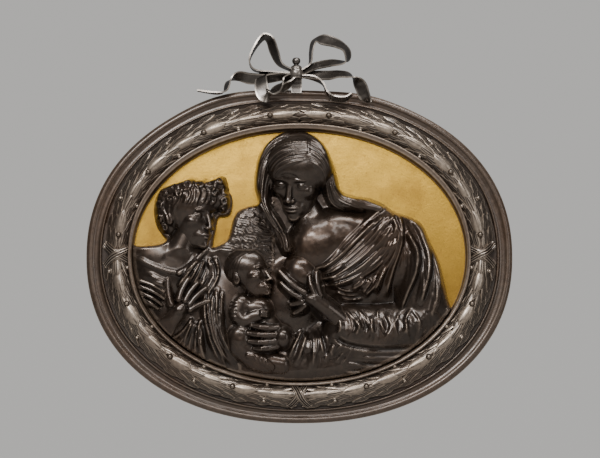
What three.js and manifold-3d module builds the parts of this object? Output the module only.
// Oval relief plaque in cast bronze: a moulded frame with a laurel garland, a gilt ground plate,
// one casting of figures (a seated mother with her child, an angel and its wing) and a ribbon bow.
// Millimetres. X runs along the long axis, Z is up, the front faces -Y and the flat back lies at
// Y = 0. "Depth" below means the distance from that back plane towards the viewer.
import * as THREE from 'three';
import { mergeVertices } from 'three/addons/utils/BufferGeometryUtils.js';
import Module from 'manifold-3d';

const wasm = await Module();
wasm.setup();

// ---- driving dimensions ----
const RIM = { a: 341, b: 267, power: 2.17 };       // outer edge of the frame, semi-axes
const OPENING = { a: 265, b: 200, power: 2.05 };   // inner edge of the frame
const FIT_GAP = 0.3;                               // clearance between neighbouring castings
const PLATE_DEPTH = 12;                            // front face of the gilt plate
const REBATE = 0.93;                               // where the plate's seat starts, rim 0 to opening 1
const CREST = { swells: [{ x: -125, reach: 75, rise: 7 }, { x: 115, reach: 55, rise: 3.3 }], fade: 0.6 };
const RELIEF = {
  size: 540, levels: 8, tolerance: 3.05, edgeClearance: 0.6, blend: 9, sink: -14, softening: 2, reach: 120 };

// Frame section from the rim (0) to the opening (1), with the depth of each turn of the moulding
// and, on the garland, which line of the laurel leaves runs there.
const MOULDING = [
  [0, 0], [0, 11], [0.055, 16.5], [0.12, 14], [0.17, 9], [0.24, 9], [0.3, 15.5], [0.35, 11.5], [0.47, 12.5],
  [0.53, 21.5, 'outerEdge'], [0.585, 26, 'sideRidge'], [0.635, 28.5, 'edge'], [0.68, 29, 'ridge'],
  [0.725, 28.5, 'edge'], [0.775, 26, 'sideRidge'], [0.83, 21, 'outerEdge'],
  [0.865, 19], [0.905, 25.5], [1, 15],
  [1, PLATE_DEPTH + FIT_GAP], [REBATE, PLATE_DEPTH + FIT_GAP], [REBATE, 0],
];

// Laurel leaves: how far each line stands out at the base, the middle and the tip of a leaf. The
// leaves beside the crown lie half a row on, and all point to the middle of the top or bottom.
const LEAVES = {
  rowsPerQuarter: 7,
  lift: { ridge: [0.4, 3.4, 5], edge: [0, 0.6, 0], sideRidge: [0.4, 3.2, 4.6], outerEdge: [0, 0.8, 0] },
};
const LEAF_STAGES = LEAVES.lift.ridge.length;
const QUARTER_STEPS = LEAVES.rowsPerQuarter * LEAF_STAGES;
const FRAME_STEPS = 4 * QUARTER_STEPS;
const GARLAND_CENTRE = 0.68;
const BAND = { width: 15, rise: 8, sink: 4, reach: 0.19, slant: 0.055, segments: 4 };

const bronze = (name, colour = 0x2f2620, roughness = 0.38) =>
  new THREE.MeshStandardMaterial({ name, color: colour, roughness, metalness: 0.9 });
const gilt = new THREE.MeshStandardMaterial({
  name: 'gilt', color: 0xa88238, roughness: 0.5, metalness: 0.85 });

// ---- small mathematical helpers ----
const mix = (a, b, t) => a + (b - a) * t;
const clamp = (v, low, high) => Math.min(high, Math.max(low, v));
const smooth = (v) => { const t = clamp(v, 0, 1); return t * t * (3 - 2 * t); };
const softMax = (a, b, k) => Math.max(a, b) + Math.max(k - Math.abs(a - b), 0) ** 2 / (4 * k);

// Point of a superellipse at an angle measured from +X towards +Z.
function superPoint({ a, b, power }, angle) {
  const c = Math.cos(angle);
  const s = Math.sin(angle);
  return [a * Math.sign(c) * Math.abs(c) ** (2 / power), b * Math.sign(s) * Math.abs(s) ** (2 / power)];
}

// Oval lying a fraction t of the way from the rim to the opening.
const ringOval = (t) => ({
  a: mix(RIM.a, OPENING.a, t), b: mix(RIM.b, OPENING.b, t), power: mix(RIM.power, OPENING.power, t) });

// Two soft swells lift the outer mouldings over the top of the frame, the larger one on the left.
function crestRise(x, t) {
  const lift = CREST.swells.reduce((sum, { x: at, reach, rise }) => (
    sum + rise * Math.exp(-(((x - at) / reach) ** 2))), 0);
  return lift * Math.max(0, 1 - t / CREST.fade);
}

function framePoint(t, angle, depth) {
  const [x, z] = superPoint(ringOval(t), angle);
  return [x, -depth, z > 0 ? z + crestRise(x, t) : z];
}

// ---- solids ----
function makeGeometry(points, triangles) {
  const geometry = new THREE.BufferGeometry();
  geometry.setAttribute('position', new THREE.Float32BufferAttribute(points.flat(), 3));
  geometry.setIndex(triangles.flat());
  return geometry;
}

// Volume enclosed by a closed mesh; negative when its faces point inwards.
function signedVolume(points, triangles) {
  const [a, b, c] = [new THREE.Vector3(), new THREE.Vector3(), new THREE.Vector3()];
  return triangles.reduce((sum, [i, j, k]) => {
    a.fromArray(points[i]);
    b.fromArray(points[j]);
    c.fromArray(points[k]);
    return sum + a.dot(b.cross(c)) / 6;
  }, 0);
}

function makeSolid(geometry) {
  const bare = geometry.clone();
  bare.deleteAttribute('normal');
  bare.deleteAttribute('uv');
  const merged = mergeVertices(bare, 1e-4);
  return new wasm.Manifold(new wasm.Mesh({
    numProp: 3,
    vertProperties: new Float32Array(merged.attributes.position.array),
    triVerts: new Uint32Array(merged.index.array) }));
}

function closedSolid(points, triangles) {
  const outward = signedVolume(points, triangles) > 0;
  const faces = outward ? triangles : triangles.map(([i, j, k]) => [i, k, j]);
  return makeSolid(makeGeometry(points, faces));
}

function solidGeometry(solid) {
  const mesh = solid.getMesh();
  const geometry = new THREE.BufferGeometry();
  geometry.setAttribute('position', new THREE.Float32BufferAttribute(mesh.vertProperties, 3));
  geometry.setIndex(new THREE.Uint32BufferAttribute(mesh.triVerts, 1));
  geometry.computeVertexNormals();
  return geometry;
}

// Skin over rows of points: rows follow one another, each row is a closed loop of equal length.
// With ring true the last row joins the first, otherwise both ends are capped with a fan.
function loft(rows, ring) {
  const count = rows[0].length;
  const points = rows.flat();
  const triangles = [];
  const last = ring ? rows.length : rows.length - 1;
  for (let i = 0; i < last; i++) {
    for (let j = 0; j < count; j++) {
      const a = i * count + j;
      const b = i * count + (j + 1) % count;
      const c = ((i + 1) % rows.length) * count + (j + 1) % count;
      const d = ((i + 1) % rows.length) * count + j;
      triangles.push([a, b, c], [a, c, d]);
    }
  }
  if (!ring) {
    const end = (rows.length - 1) * count;
    for (let j = 1; j < count - 1; j++) {
      triangles.push([0, j + 1, j], [end, end + j, end + j + 1]);
    }
  }
  return closedSolid(points, triangles);
}

// ---- frame ----
// Lift of a garland line at a step round the frame, counted from +X towards +Z.
function leafLift(line, step) {
  if (!line) {
    return 0;
  }
  const within = step % QUARTER_STEPS;
  const fromSide = Math.floor(step / QUARTER_STEPS) % 2 ? QUARTER_STEPS - within : within;
  const shift = line === 'ridge' || line === 'edge' ? 0 : 1;
  return LEAVES.lift[line][(fromSide + shift) % LEAF_STAGES];
}

function mouldingRing() {
  const rows = [];
  for (let i = 0; i < FRAME_STEPS; i++) {
    const angle = (2 * Math.PI * i) / FRAME_STEPS;
    rows.push(MOULDING.map(([t, depth, line]) => framePoint(t, angle, depth + leafLift(line, i))));
  }
  return loft(rows, true);
}

// Depth of the moulding's front at a place across the frame.
function sectionDepth(t) {
  const next = MOULDING.findIndex(([u]) => u > t);
  const [[t0, depth0], [t1, depth1]] = [MOULDING[next - 1], MOULDING[next]];
  return mix(depth0, depth1, (t - t0) / (t1 - t0));
}

// A flat ribbon that crosses the garland aslant.
function bandSolid(angle, slant) {
  const half = BAND.width / 2 / RIM.a;
  const rows = [];
  for (let i = 0; i <= BAND.segments; i++) {
    const v = mix(-1, 1, i / BAND.segments);
    const t = GARLAND_CENTRE + BAND.reach * v;
    const middle = angle + slant * v;
    const top = sectionDepth(t) + BAND.rise;
    const low = sectionDepth(t) - BAND.sink;
    rows.push([
      framePoint(t, middle - half, top), framePoint(t, middle + half, top),
      framePoint(t, middle + half, low), framePoint(t, middle - half, low)]);
  }
  return loft(rows, false);
}

function makeFrame() {
  const quarter = Math.PI / 2;
  let solid = mouldingRing();
  for (const angle of [0, Math.PI, -quarter]) {
    solid = solid.add(bandSolid(angle, BAND.slant)).add(bandSolid(angle, -BAND.slant));
  }
  return solidGeometry(solid);
}

// ---- ground plate ----
function ovalShape(oval, steps, shrink = 0) {
  const points = [];
  const small = { ...oval, a: oval.a - shrink, b: oval.b - shrink };
  for (let i = 0; i < steps; i++) {
    points.push(new THREE.Vector2(...superPoint(small, (2 * Math.PI * i) / steps)));
  }
  return new THREE.Shape(points);
}

// Extrudes a shape drawn in X and Z forwards from one depth to another.
function extrudeForwards(shape, from, to) {
  const geometry = new THREE.ExtrudeGeometry(shape, { depth: to - from, bevelEnabled: false });
  geometry.rotateX(Math.PI / 2);
  geometry.translate(0, -from, 0);
  return geometry;
}

const makePlate = () => extrudeForwards(ovalShape(ringOval(REBATE), FRAME_STEPS, FIT_GAP), 0, PLATE_DEPTH);

// ---- figure relief: heights above the gilt plate over a square grid ----
// Heads are blended ellipsoids in life-size millimetres: x to the figure's left, y forwards, z up.
const HEAD_FORMS = [
  { at: [0, 0, 30], radii: [75, 92, 84] },
  { at: [0, 26, -34], radii: [56, 58, 78] },
  { at: [0, 62, -94], radii: [24, 24, 20] },
  { at: [37, 54, -24], radii: [24, 26, 22] },
  { at: [-37, 54, -24], radii: [24, 26, 22] },
  { at: [0, 80, 20], radii: [46, 12, 14] },
  { at: [0, 92, -16], radii: [8, 16, 26] },
  { at: [0, 96, -36], radii: [12, 14, 10] },
  { at: [0, 78, -72], radii: [22, 14, 9] },
];
const EYE_SOCKETS = [{ at: [31, 92, 0], radii: [19, 14, 12] }, { at: [-31, 92, 0], radii: [19, 14, 12] }];
const EYES = [{ at: [31, 68, -2], radii: [15, 14, 12] }, { at: [-31, 68, -2], radii: [15, 14, 12] }];

function ellipsoidDistance(p, { at, radii }) {
  const q = p.map((v, i) => (v - at[i]) / radii[i]);
  const near = Math.hypot(...q);
  return (near - 1) * Math.min(...radii);
}

const softMin = (a, b, k) => -softMax(-a, -b, k);

function headDistance(p) {
  let d = HEAD_FORMS.reduce((least, form) => softMin(least, ellipsoidDistance(p, form), 12), 1e3);
  EYE_SOCKETS.forEach((form) => { d = softMax(d, -ellipsoidDistance(p, form), 10); });
  EYES.forEach((form) => { d = softMin(d, ellipsoidDistance(p, form), 3); });
  return d;
}

const degrees = Math.PI / 180;

class ReliefField {
  constructor() {
    this.count = 2 ** RELIEF.levels + 1;
    this.cell = RELIEF.size / (this.count - 1);
    this.heights = new Float32Array(this.count * this.count).fill(RELIEF.sink);
  }

  // Column or row index to a coordinate, the same for X and Z.
  coordinate(index) {
    return index * this.cell - RELIEF.size / 2;
  }

  sample(x, z) {
    const i = clamp(Math.round((x + RELIEF.size / 2) / this.cell), 0, this.count - 1);
    const j = clamp(Math.round((z + RELIEF.size / 2) / this.cell), 0, this.count - 1);
    return this.heights[j * this.count + i];
  }

  // Applies a function of place and present height to every cell within a box.
  visit([x0, x1, z0, z1], rule) {
    const index = (v) => clamp(Math.round((v + RELIEF.size / 2) / this.cell), 0, this.count - 1);
    for (let j = index(z0); j <= index(z1); j++) {
      for (let i = index(x0); i <= index(x1); i++) {
        const cell = j * this.count + i;
        this.heights[cell] = rule(this.coordinate(i), this.coordinate(j), this.heights[cell]);
      }
    }
  }

  // A cushion-like mass, full in the middle and steep at its edge.
  dome(cx, cz, rx, rz, rise, turn = 0) {
    const reach = Math.max(rx, rz) * 1.15;
    const [c, s] = [Math.cos(turn * degrees), Math.sin(turn * degrees)];
    this.visit([cx - reach, cx + reach, cz - reach, cz + reach], (x, z, h) => {
      const u = ((x - cx) * c + (z - cz) * s) / rx;
      const v = ((z - cz) * c - (x - cx) * s) / rz;
      return softMax(h, rise * (1 - (u * u + v * v) ** 1.6), RELIEF.blend);
    });
  }

  // Lowers the surface within an oval, or raises it where the cut is negative.
  press(cx, cz, rx, rz, cut) {
    this.visit([cx - rx, cx + rx, cz - rz, cz + rz], (x, z, h) => {
      const r = ((x - cx) / rx) ** 2 + ((z - cz) / rz) ** 2;
      return h - cut * Math.max(0, 1 - r) ** 1.5;
    });
  }

  // A round roll along a smooth path through [x, z, radius] stations, with its crest either at
  // given heights or a little proud of the forms already under it.
  roll(stations, { top = null, proud = 0, blend = 1.5, flat = 1 } = {}) {
    const path = smoothPath(stations);
    const crest = path.map(([x, z], i) => {
      if (top === null) {
        return this.sample(x, z) + proud;
      }
      return Array.isArray(top) ? mix(top[0], top[1], i / (path.length - 1)) : top;
    });
    const wide = Math.max(...path.map((p) => p[2])) * 1.4;
    const box = [
      Math.min(...path.map((p) => p[0])) - wide, Math.max(...path.map((p) => p[0])) + wide,
      Math.min(...path.map((p) => p[1])) - wide, Math.max(...path.map((p) => p[1])) + wide];
    this.visit(box, (x, z, h) => {
      let best = -1e3;
      for (let i = 0; i < path.length - 1; i++) {
        const [ax, az, ar] = path[i];
        const [bx, bz, br] = path[i + 1];
        const [dx, dz] = [bx - ax, bz - az];
        const t = clamp(((x - ax) * dx + (z - az) * dz) / (dx * dx + dz * dz), 0, 1);
        const r = mix(ar, br, t);
        const d = Math.hypot(x - ax - dx * t, z - az - dz * t);
        const drop = d < r ? r - Math.sqrt(r * r - d * d) : r + 3 * (d - r);
        best = Math.max(best, mix(crest[i], crest[i + 1], t) - flat * drop);
      }
      return softMax(h, best, blend);
    });
  }

  // A family of rolls spread between a first and a last path.
  folds(first, last, count, options) {
    for (let i = 0; i < count; i++) {
      const t = i / (count - 1);
      this.roll(first.map((p, k) => p.map((v, axis) => mix(v, last[k][axis], t))), options);
    }
  }

  // A head seen along -Y, turned by yaw, bowed by pitch and tilted by roll, in degrees.
  head({ x: cx, z: cz, depth, scale, yaw, pitch, roll, flatten = 0.75, cranium = 1 }) {
    const turn = new THREE.Matrix4().makeRotationFromEuler(
      new THREE.Euler(pitch * degrees, roll * degrees, -yaw * degrees, 'YZX')).invert();
    const point = new THREE.Vector3();
    const reach = 150 * scale;
    const distance = (x, y, z) => {
      point.set(x, y, z).applyMatrix4(turn).divideScalar(scale);
      return headDistance([point.x, -point.y, point.z * (point.z > 0 ? 1 / cranium : 1)]) * scale;
    };
    this.visit([cx - reach, cx + reach, cz - reach, cz + reach], (x, z, h) => {
      let y = reach;
      for (let step = 0; step < 40 && y > -reach; step++) {
        const gap = distance(x - cx, -y, z - cz);
        if (gap < 0.25) {
          return softMax(h, depth + y * flatten, 2);
        }
        y -= Math.max(gap, 0.3);
      }
      return h;
    });
  }

  // Evens out steps finer than the solid can carry.
  soften(passes) {
    const n = this.count;
    for (let pass = 0; pass < passes; pass++) {
      const old = this.heights.slice();
      for (let j = 1; j < n - 1; j++) {
        for (let i = 1; i < n - 1; i++) {
          const c = j * n + i;
          this.heights[c] = old[c] / 2 + (old[c - 1] + old[c + 1] + old[c - n] + old[c + n]) / 8;
        }
      }
    }
  }

  // Slopes the empty cells gently away from the forms, so that the outline cuts a clean wall.
  spread(slope) {
    const n = this.count;
    const pull = (cell, from) => {
      const next = this.heights[from] - slope * this.cell;
      if (this.heights[cell] < 3 && next > this.heights[cell]) {
        this.heights[cell] = next;
      }
    };
    for (let j = 1; j < n; j++) {
      for (let i = 1; i < n; i++) {
        pull(j * n + i, j * n + i - 1);
        pull(j * n + i, (j - 1) * n + i);
        const back = (n - 1 - j) * n + (n - 1 - i);
        pull(back, back + 1);
        pull(back, back + n);
      }
    }
  }
}

// Rounds a path of [x, z, radius] stations with a spline.
function smoothPath(stations) {
  if (stations.length < 3) {
    return stations;
  }
  const points = stations.map((p) => new THREE.Vector3(...p));
  const curve = new THREE.CatmullRomCurve3(points, false, 'centripetal');
  return curve.getPoints((stations.length - 1) * 4).map((p) => [p.x, p.y, p.z]);
}

function modelMother(field) {
  field.dome(85, -10, 98, 84, 30);
  field.dome(44, 22, 56, 50, 35);
  field.dome(134, 38, 56, 48, 33);
  field.dome(80, -178, 200, 78, 25);
  field.dome(-12, 2, 44, 62, 26);
  field.roll([[150, 38, 46], [190, -30, 46], [196, -104, 40]], { top: 36, flat: 0.7, blend: 12 });
  field.roll([[2, 92, 20], [22, 50, 22], [34, 30, 26]], { top: [34, 36], blend: 8 });
  field.dome(44, 80, 46, 34, 20);
}

function modelHair(field) {
  field.dome(-4, 128, 68, 68, 22);
  field.head({ x: 1, z: 121, depth: 12, scale: 0.56, yaw: 28, pitch: 24, roll: -6 });
  field.press(-2, 172, 58, 38, -7);
  field.folds(
    [[-8, 197, 9], [-50, 182, 9], [-66, 135, 9], [-66, 85, 8], [-34, 30, 6], [-30, -16, 4]],
    [[-4, 180, 9], [-34, 160, 9], [-46, 120, 8], [-44, 85, 7], [-10, 40, 6], [-12, -2, 4]],
    4, { top: [30, 34], blend: 2 });
  field.folds(
    [[0, 198, 9], [40, 176, 9], [55, 140, 9], [64, 106, 9], [90, 94, 8], [118, 80, 6]],
    [[2, 180, 9], [26, 160, 9], [40, 125, 9], [46, 96, 9], [62, 76, 8], [84, 70, 6]],
    4, { top: [32, 28], blend: 2 });
  field.folds(
    [[-38, 166, 7], [-20, 176, 7], [4, 178, 7], [26, 166, 7]],
    [[-46, 138, 6], [-24, 148, 6], [2, 148, 6], [32, 140, 6]], 4, { proud: 4, blend: 2 });
}

function modelDrapery(field) {
  field.roll([[198, -108, 34], [130, -110, 32], [66, -98, 20]], { top: [42, 44], flat: 0.8, blend: 6 });
  field.press(90, -72, 22, 14, 14);
  field.folds(
    [[118, 76, 7], [98, 28, 7], [70, -2, 6], [36, -18, 5]],
    [[152, 38, 8], [122, -10, 8], [82, -34, 7], [40, -44, 5]], 5, { proud: 6 });
  field.folds(
    [[138, 54, 8], [150, 10, 9], [148, -35, 9], [128, -72, 8]],
    [[186, 54, 8], [212, 2, 11], [226, -50, 12], [234, -88, 11]], 5, { proud: 7 });
  field.folds(
    [[74, -86, 7], [78, -108, 8], [84, -136, 6]],
    [[196, -92, 9], [206, -116, 10], [188, -146, 8]], 6, { proud: 5 });
  field.folds(
    [[90, -156, 8], [142, -166, 9], [204, -148, 7]],
    [[64, -188, 7], [110, -194, 8], [150, -186, 7]], 3, { proud: 6 });
  field.folds(
    [[18, -114, 6], [-14, -140, 8], [-30, -178, 8]],
    [[44, -116, 6], [62, -150, 9], [66, -192, 8]], 5, { proud: 7 });
}

function modelChild(field) {
  field.dome(-64, -94, 40, 36, 38);
  field.dome(-92, -124, 30, 30, 40);
  field.roll([[-88, -136, 24], [-58, -166, 20], [-28, -176, 15]], { top: [38, 32], blend: 6 });
  field.roll([[-86, -76, 11], [-84, -98, 10], [-56, -92, 6]], { top: [42, 46], blend: 3 });
  field.head({
    x: -80, z: -34, depth: 12, scale: 0.385, yaw: -60, pitch: -4, roll: 8, flatten: 0.8, cranium: 1.05 });
}

// Each finger is a tapering roll from the knuckle to the tip.
function modelHands(field) {
  const finger = (x0, z0, x1, z1, top, r = 5) => {
    const knuckle = [(x0 + x1) / 2, (z0 + z1) / 2 + 1, r];
    field.roll([[x0, z0, r + 0.6], knuckle, [x1, z1, r - 0.8]], { top, blend: 1 });
  };
  field.dome(2, -26, 34, 28, 42);
  field.roll([[66, -108, 16], [34, -78, 14], [8, -60, 9]], { top: [50, 54], blend: 2 });
  finger(10, -60, -29, -25, [55, 50]);
  finger(38, -66, 28, -20, [53, 52]);
  finger(4, -68, -24, -42, [52, 46]);
  finger(8, -76, -3, -92, [52, 46]);
  field.dome(-20, -134, 26, 28, 44);
  [-112, -124, -137, -150].forEach((z) => finger(-24, z, -84, z + 1, [50, 49], 6));
  field.roll([[-236, -142, 20], [-204, -112, 17], [-190, -92, 16]], { top: [32, 40], blend: 3 });
  field.dome(-188, -92, 21, 24, 40);
  finger(-203, -80, -207, -40, [41, 37]);
  finger(-194, -74, -175, -42, [43, 38]);
  finger(-186, -78, -162, -46, [43, 38]);
  finger(-178, -86, -151, -52, [42, 37]);
  finger(-176, -97, -146, -76, [40, 35]);
  [[-41, -60], [-53, -69], [-67, -80], [-81, -91]].forEach(([from, to]) => {
    finger(-250, from, -213, to, [34, 37]);
  });
}

function modelAngel(field) {
  field.dome(-94, 34, 56, 60, 17);
  field.dome(-128, 2, 42, 34, 15);
  field.dome(-116, -70, 44, 80, 16);
  field.dome(-165, -110, 90, 100, 23);
  field.dome(-205, -24, 74, 62, 27);
  field.dome(-234, 8, 48, 38, 24);
  field.roll([[-176, 40, 20], [-190, 8, 22], [-196, -10, 24]], { top: [28, 30], blend: 8 });
  field.folds(
    [[-152, 4, 5], [-170, -18, 6], [-192, -48, 5]],
    [[-134, -8, 7], [-138, -44, 8], [-160, -78, 7]], 3, { proud: 6 });
  field.folds(
    [[-124, -50, 6], [-128, -95, 7], [-118, -140, 7], [-86, -182, 6]],
    [[-142, -84, 7], [-154, -120, 9], [-146, -160, 9], [-124, -192, 8]], 3, { proud: 7 });
  field.folds(
    [[-156, -92, 5], [-176, -118, 7], [-194, -138, 6]],
    [[-152, -98, 6], [-158, -140, 8], [-150, -178, 7]], 3, { proud: 6 });
  field.dome(-126, 96, 22, 46, 15);
  field.head({ x: -177, z: 64, depth: 9, scale: 0.5, yaw: -50, pitch: 8, roll: 4 });
}

const FEATHERS = { rows: 4, perRow: 5, x: -132, z: 60, pitch: 17, droop: 5 };
const CURLS = { count: 34, x: -182, z: 78, rx: 46, rz: 42, size: 11, base: 16, rise: 3.5, face: [-198, 74] };
const FOREHEAD_TUFT = [[-156, 114], [-142, 112], [-127, 118], [-118, 102], [-113, 84], [-117, 70]];

// Feathers are short rows of scales on the wing; curls are small knobs spread over the hair.
function modelWingAndCurls(field) {
  for (let row = 0; row < FEATHERS.rows; row++) {
    for (let k = 0; k < FEATHERS.perRow; k++) {
      const x = FEATHERS.x + FEATHERS.pitch * (k + (row % 2) / 2);
      const z = FEATHERS.z - FEATHERS.pitch * row - FEATHERS.droop * Math.abs(k - FEATHERS.perRow / 2);
      field.roll([[x + 6, z + 7, 6], [x - 5, z - 5, 7]], { proud: 1.6, flat: 0.5, blend: 0.8 });
    }
  }
  const golden = Math.PI * (3 - Math.sqrt(5));
  for (let k = 0; k < CURLS.count; k++) {
    const r = Math.sqrt((k + 0.5) / CURLS.count);
    const x = CURLS.x + CURLS.rx * r * Math.cos(golden * k);
    const z = CURLS.z + CURLS.rz * r * Math.sin(golden * k);
    const onFace = x > CURLS.face[0] && z < CURLS.face[1];
    if (!onFace) {
      field.dome(x, z, CURLS.size, CURLS.size, Math.max(CURLS.base, field.sample(x, z)) + CURLS.rise);
    }
  }
  FOREHEAD_TUFT.forEach(([x, z]) => field.dome(x, z, 12, 12, 26));
}

// Right-triangle mesh of a square height grid, fine only where the surface bends: every triangle
// is split at the middle of its long side while the middle lies off the straight line.
class AdaptiveSkin {
  constructor(field) {
    this.field = field;
    this.size = field.count;
    this.errors = new Float32Array(field.heights.length);
    this.measure();
  }

  // The two halves of the square; a triangle is [ax, ay, bx, by, cx, cy], its long side from a to b.
  roots() {
    const last = this.size - 1;
    return [[0, 0, last, last, last, 0], [last, last, 0, 0, 0, last]];
  }

  halves([ax, ay, bx, by, cx, cy]) {
    const [mx, my] = [(ax + bx) >> 1, (ay + by) >> 1];
    return [[cx, cy, ax, ay, mx, my], [bx, by, cx, cy, mx, my]];
  }

  middle([ax, ay, bx, by]) {
    return ((ay + by) >> 1) * this.size + ((ax + bx) >> 1);
  }

  canSplit([ax, ay, , , cx, cy]) {
    return Math.abs(ax - cx) + Math.abs(ay - cy) > 1;
  }

  height(x, y) {
    return this.field.heights[y * this.size + x];
  }

  // Distance of the surface from the chord, measured square to the slope.
  bend(ax, ay, bx, by, mx, my) {
    const gap = Math.abs((this.height(ax, ay) + this.height(bx, by)) / 2 - this.height(mx, my));
    const step = Math.min(mx + 1, this.size - 1);
    const rise = Math.min(my + 1, this.size - 1);
    const slopeX = (this.height(step, my) - this.height(Math.max(mx - 1, 0), my)) / (2 * this.field.cell);
    const slopeY = (this.height(mx, rise) - this.height(mx, Math.max(my - 1, 0))) / (2 * this.field.cell);
    return gap / Math.sqrt(1 + slopeX * slopeX + slopeY * slopeY);
  }

  // Works from the finest triangles up, so that each middle also knows the bends inside its halves.
  measure() {
    const levels = [this.roots()];
    while (this.canSplit(levels[levels.length - 1][0])) {
      levels.push(levels[levels.length - 1].flatMap((triangle) => this.halves(triangle)));
    }
    levels.reverse().forEach((level, depth) => level.forEach((triangle) => {
      const [ax, ay, bx, by] = triangle;
      const cell = this.middle(triangle);
      const own = this.bend(ax, ay, bx, by, (ax + bx) >> 1, (ay + by) >> 1);
      const inner = depth ? this.halves(triangle).map((half) => this.errors[this.middle(half)]) : [];
      this.errors[cell] = Math.max(this.errors[cell], own, ...inner);
    }));
  }

  triangles(tolerance) {
    const found = [];
    const split = (triangle) => {
      if (this.canSplit(triangle) && this.errors[this.middle(triangle)] > tolerance) {
        this.halves(triangle).forEach(split);
      } else {
        const [ax, ay, bx, by, cx, cy] = triangle;
        found.push([ay * this.size + ax, by * this.size + bx, cy * this.size + cx]);
      }
    };
    this.roots().forEach(split);
    return found;
  }

  // The skin over a flat underside, with straight walls along the border of the square.
  solid(tolerance, under) {
    const faces = this.triangles(tolerance);
    const used = new Map();
    const points = [];
    const corner = (cell) => {
      if (!used.has(cell)) {
        used.set(cell, points.length);
        const x = this.field.coordinate(cell % this.size);
        const z = this.field.coordinate(Math.floor(cell / this.size));
        points.push([x, -(PLATE_DEPTH + this.field.heights[cell]), z], [x, -under, z]);
      }
      return used.get(cell);
    };
    const triangles = [];
    const edges = new Map();
    faces.forEach((face) => {
      const [a, b, c] = face.map(corner);
      triangles.push([a, b, c], [a + 1, c + 1, b + 1]);
      [[a, b], [b, c], [c, a]].forEach(([p, q]) => {
        if (!edges.delete(`${q},${p}`)) {
          edges.set(`${p},${q}`, [p, q]);
        }
      });
    });
    edges.forEach(([p, q]) => triangles.push([p, p + 1, q + 1], [p, q + 1, q]));
    return closedSolid(points, triangles);
  }
}

// Silhouette of the group against the gilt plate, from the mantle's foot on the right over both
// heads to the angel's shoulder on the left; the frame hides everything below.
const SILHOUETTE = [
  [262, -92], [242, -84], [232, -48], [222, -8], [208, 22], [196, 50], [176, 62], [150, 71],
  [134, 83], [112, 92], [90, 96], [68, 103], [61, 125], [54, 148], [44, 172], [28, 190], [8, 199],
  [-14, 200], [-38, 193], [-56, 179], [-66, 160], [-71, 134], [-72, 110], [-67, 90], [-70, 82],
  [-84, 79], [-98, 72], [-106, 58], [-110, 42], [-116, 26], [-136, 14], [-138, 20], [-134, 40], [-130, 60],
  [-119, 62], [-110, 68], [-107, 88], [-113, 108], [-119, 128], [-130, 132], [-142, 126],
  [-160, 124], [-176, 126], [-190, 120], [-206, 114], [-222, 106], [-231, 90], [-233, 70],
  [-229, 48], [-220, 34], [-214, 26], [-224, 20], [-240, 18], [-262, 17],
];

function silhouetteShape() {
  const curve = new THREE.CatmullRomCurve3(
    SILHOUETTE.map(([x, z]) => new THREE.Vector3(x, z, 0)), false, 'centripetal');
  const points = curve.getPoints(SILHOUETTE.length * 2).map((p) => new THREE.Vector2(p.x, p.y));
  const outer = [[-400, 17], [-400, -300], [400, -300], [400, -92]].map((p) => new THREE.Vector2(...p));
  return new THREE.Shape([...points, ...outer]);
}

function makeFigures() {
  const field = new ReliefField();
  modelMother(field);
  modelAngel(field);
  modelWingAndCurls(field);
  modelDrapery(field);
  modelHair(field);
  modelChild(field);
  modelHands(field);
  field.spread(0.6);
  field.soften(RELIEF.softening);
  const block = new AdaptiveSkin(field).solid(RELIEF.tolerance, -10);
  const back = PLATE_DEPTH + FIT_GAP;
  const opening = ovalShape(OPENING, FRAME_STEPS, RELIEF.edgeClearance);
  const oval = makeSolid(extrudeForwards(opening, back, RELIEF.reach));
  const cutter = makeSolid(extrudeForwards(silhouetteShape(), back - 1, RELIEF.reach + 1));
  const parts = block.intersect(oval.intersect(cutter)).decompose();
  return solidGeometry(parts.sort((a, b) => b.volume() - a.volume())[0]);
}

// ---- ribbon bow ----
const RIBBON = { thick: 2.6, stepsPerStation: 1.4 };

// A ribbon through stations [x, depth, z, wx, wdepth, wz, half]: a point of its middle line, the
// direction of its width and half of that width.
function ribbonSolid(stations, steps) {
  const vectors = (from) => new THREE.CatmullRomCurve3(
    stations.map((s) => new THREE.Vector3(s[from], -s[from + 1], s[from + 2])), false, 'centripetal');
  const line = vectors(0);
  const width = vectors(3);
  const rows = [];
  for (let i = 0; i <= steps; i++) {
    const t = i / steps;
    const middle = line.getPoint(t);
    const tangent = line.getTangent(t);
    const across = width.getPoint(t);
    across.addScaledVector(tangent, -across.dot(tangent)).normalize();
    const normal = tangent.clone().cross(across).multiplyScalar(RIBBON.thick / 2);
    const place = t * (stations.length - 1);
    const low = Math.min(Math.floor(place), stations.length - 2);
    across.multiplyScalar(mix(stations[low][6], stations[low + 1][6], place - low));
    rows.push([[1, 1], [-1, 1], [-1, -1], [1, -1]].map(([u, v]) =>
      middle.clone().addScaledVector(across, u).addScaledVector(normal, v).toArray()));
  }
  return loft(rows, false);
}

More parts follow.
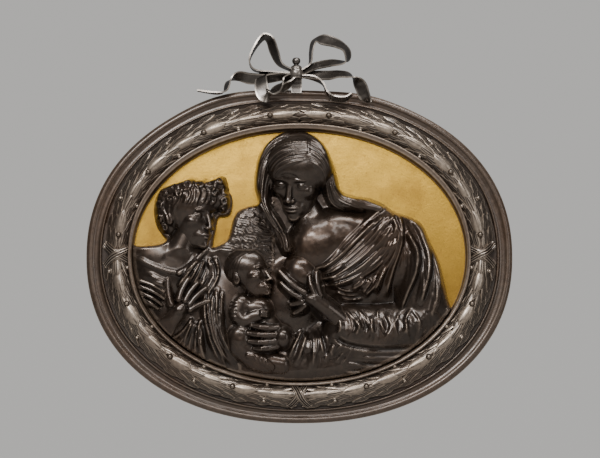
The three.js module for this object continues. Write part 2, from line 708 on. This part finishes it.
const RIBBONS = {
  leftLoop: [
    [-8, 30, 295, 0, 1, 0.2, 5], [-30, 32, 306, 0, 1, 0, 9], [-39, 33, 326, 0.2, 1, 0, 11],
    [-46, 34, 345, 0.3, 1, 0.2, 11], [-58, 34, 350, 0, 1, 0.3, 11], [-72, 34, 332, -0.1, 1, 0, 11],
    [-80, 33, 312, 0, 1, 0, 11], [-72, 31, 297, 0, 1, 0, 10], [-45, 30, 294, 0, 1, 0, 7],
    [-8, 29, 292, 0, 1, 0, 5]],
  rightLoop: [
    [4, 30, 296, 0, 1, 0.2, 5], [17, 26, 308, 0.2, 1, 0, 8], [19, 25, 330, 0.3, 1, 0, 10],
    [22, 25, 346, 0.5, 1, 0.2, 10], [38, 28, 347, -0.3, 0.5, 0.9, 11], [60, 32, 340, 0.1, 0.5, 0.9, 11],
    [76, 33, 328, 0.6, 0.6, 0.5, 11], [76, 30, 310, 0.3, 0.8, -0.4, 10], [50, 28, 309, 0, 0.6, 0.8, 9],
    [24, 30, 303, 0, 0.5, 0.8, 8], [4, 30, 292, 0, 0.6, 0.6, 6]],
  rightTail: [
    [2, 30, 289, 0, 0.3, 1, 5], [24, 31, 289, 0, 0.2, 1, 8], [46, 33, 288, 0, 0.2, 1, 10],
    [64, 34, 290, 0, 0.5, 0.9, 11], [82, 33, 288, -0.4, 0.8, 0.6, 11], [97, 31, 275, -0.6, 0.8, 0.1, 11],
    [104, 30, 258, -0.6, 0.8, 0, 10], [112, 30, 246, -0.4, 0.9, 0.3, 8]],
  innerTail: [
    [2, 29, 288, 0, 1, 0.2, 5], [24, 29, 284, 0, 1, 0.3, 8], [38, 29, 275, 0, 1, 0.1, 9],
    [44, 29, 262, 0.1, 1, 0, 9], [54, 29, 252, 0.2, 1, 0.3, 9], [72, 29, 250, 0.1, 1, 0.5, 8],
    [84, 29, 258, 0, 1, 0.3, 6]],
  leftDrop: [
    [-6, 30, 290, 0.4, 0.6, 0.6, 5], [-24, 32, 280, 0.6, 0.3, 0.7, 8], [-40, 33, 262, 0.9, 0.2, 0.5, 10],
    [-55, 34, 256, 0.6, 0.3, 0.8, 10], [-62, 33, 272, 0.8, 0.5, 0.1, 10],
    [-58, 30, 290, 0.6, 0.7, -0.4, 9], [-40, 28, 293, 0.3, 0.8, -0.3, 7], [-6, 28, 291, 0, 0.8, 0.2, 5]],
  leftTail: [
    [-6, 28, 289, 0, 0.9, 0.4, 5], [-50, 26, 284, 0, 0.6, 0.8, 8], [-78, 25, 284, 0, 0.6, 0.8, 10],
    [-98, 24, 288, 0.2, 0.8, 0.6, 10], [-113, 24, 280, 0.5, 0.9, 0.2, 10],
    [-120, 24, 264, 0.4, 0.9, 0.2, 9], [-136, 24, 261, 0, 0.9, 0.4, 9], [-164, 24, 265, 0, 0.9, 0.3, 7]],
  stem: [[-5, 26, 288, 1, 0, 0, 9], [-5, 19.5, 281, 1, 0, 0, 9], [-5, 18.2, 272, 1, 0, 0, 9],
    [-5, 18.2, 262, 1, 0, 0, 8]],
  middleTail: [
    [0, 30, 290, 0.5, 0.3, 0.8, 6], [-14, 32, 276, 0.7, 0.2, 0.7, 8], [-30, 32, 264, 0.7, 0.2, 0.7, 7]],
};

const KNOT = { x: -5, depth: 28, foot: 283.5, top: 300.5, waist: 10, bulge: 12, sides: 10 };

// A solid turned about an upright axis through the knot, from [radius, height] points.
function turnedOnKnot(profile, base) {
  const geometry = new THREE.LatheGeometry(profile.map(([r, h]) => new THREE.Vector2(r, h)), KNOT.sides);
  geometry.rotateX(Math.PI / 2);
  geometry.translate(KNOT.x, -KNOT.depth, base);
  return geometry;
}

function knotSolid() {
  const height = KNOT.top - KNOT.foot;
  return makeSolid(turnedOnKnot(
    [[0, 0], [KNOT.waist, 0], [KNOT.bulge, height / 2], [KNOT.waist, height], [0, height]], KNOT.foot));
}

function makeBow() {
  let solid = knotSolid();
  Object.values(RIBBONS).forEach((stations) => {
    solid = solid.add(ribbonSolid(stations, Math.round((stations.length - 1) * RIBBON.stepsPerStation)));
  });
  return solidGeometry(solid);
}

// A small turned knob on the knot's flat top, the head of the bow's fixing.
const KNOB_PROFILE = [[0, 0], [8, 0], [8.4, 2], [3.8, 5.6], [6.6, 9.6], [6.6, 12.6], [0, 17]];
const makeKnob = () => turnedOnKnot(KNOB_PROFILE, KNOT.top + FIT_GAP);

// ---- assembly ----
const group = new THREE.Group();
function addPiece(name, geometry, material) {
  const mesh = new THREE.Mesh(geometry, material);
  mesh.name = name;
  group.add(mesh);
}

addPiece('frame', makeFrame(), bronze('frame_bronze', 0x33281f, 0.42));
addPiece('ground_plate', makePlate(), gilt);
addPiece('figure_group', makeFigures(), bronze('figure_bronze'));
addPiece('ribbon_bow', makeBow(), bronze('ribbon_bronze', 0x2b2622, 0.35));
addPiece('bow_knob', makeKnob(), bronze('knob_bronze', 0x3a3431, 0.3));

export default group;
